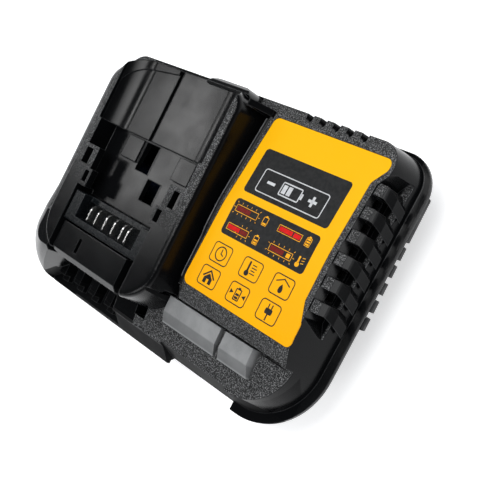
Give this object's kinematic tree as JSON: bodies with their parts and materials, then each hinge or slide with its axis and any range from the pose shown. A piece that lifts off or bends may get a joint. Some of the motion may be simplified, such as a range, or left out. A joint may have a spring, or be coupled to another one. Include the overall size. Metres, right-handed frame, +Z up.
{
  "type": "power tool battery charger",
  "caption": "Tabletop charger for slide-on power tool battery packs, with a raised rail bay, blade contacts, louvred side vents, two indicator lenses and a yellow label.",
  "frame": {"origin": "on the table plane, under the middle of the housing", "axes": "+X along the width towards the label side, +Y from the front edge to the back, +Z up"},
  "size_m": [0.1687, 0.115, 0.05],
  "materials": {
    "housing_black": "moulded black plastic, finely textured on top and glossier in the grooves",
    "base_black": "moulded black plastic",
    "block_grey": "moulded blue-grey plastic",
    "contact_metal": "nickel-plated spring metal",
    "lens_clear": "frosted translucent plastic",
    "led_white": "small moulded lamps",
    "label_yellow": "printed plastic label, satin",
    "bush_rubber": "matt rubber",
    "screw_steel": "zinc-plated steel",
    "board_green": "solder-masked laminate",
    "ferrite_grey": "dull grey ferrite",
    "bobbin_black": "moulded phenolic",
    "tape_yellow": "polyester tape over the winding",
    "copper_wire": "enamelled copper wire",
    "can_sleeve": "shrunk plastic sleeve",
    "box_ivory": "moulded plastic case",
    "disc_blue": "dipped coating",
    "fuse_brown": "moulded plastic case",
    "package_black": "moulded epoxy",
    "sink_aluminium": "extruded, natural finish"
  },
  "bodies": {
    "root": {"board_screws": "screw_steel", "bottom_housing": "base_black", "bridge_rectifier": "package_black", "bulk_capacitor": "can_sleeve", "charge_lens": "lens_clear", "choke_core": "ferrite_grey", "choke_winding": "copper_wire", "contact_blade_1": "contact_metal", "contact_blade_2": "contact_metal", "contact_blade_3": "contact_metal", "contact_blade_4": "contact_metal", "contact_blade_5": "contact_metal", "contact_blade_6": "contact_metal", "controller_chip": "package_black", "cord_bush": "bush_rubber", "filter_capacitor": "box_ivory", "fuse": "fuse_brown", "housing_screws": "screw_steel", "indicator_leds": "led_white", "label_plate": "label_yellow", "main_board": "board_green", "optocoupler": "package_black", "output_capacitors": "can_sleeve", "primary_heat_sink": "sink_aluminium", "primary_power_package": "package_black", "secondary_heat_sink": "sink_aluminium", "secondary_power_package": "package_black", "status_lens": "lens_clear", "surge_absorber": "disc_blue", "terminal_block": "block_grey", "top_housing": "housing_black", "transformer_bobbin": "bobbin_black", "transformer_core": "ferrite_grey", "transformer_winding": "tape_yellow"}
  },
  "joints": []
}
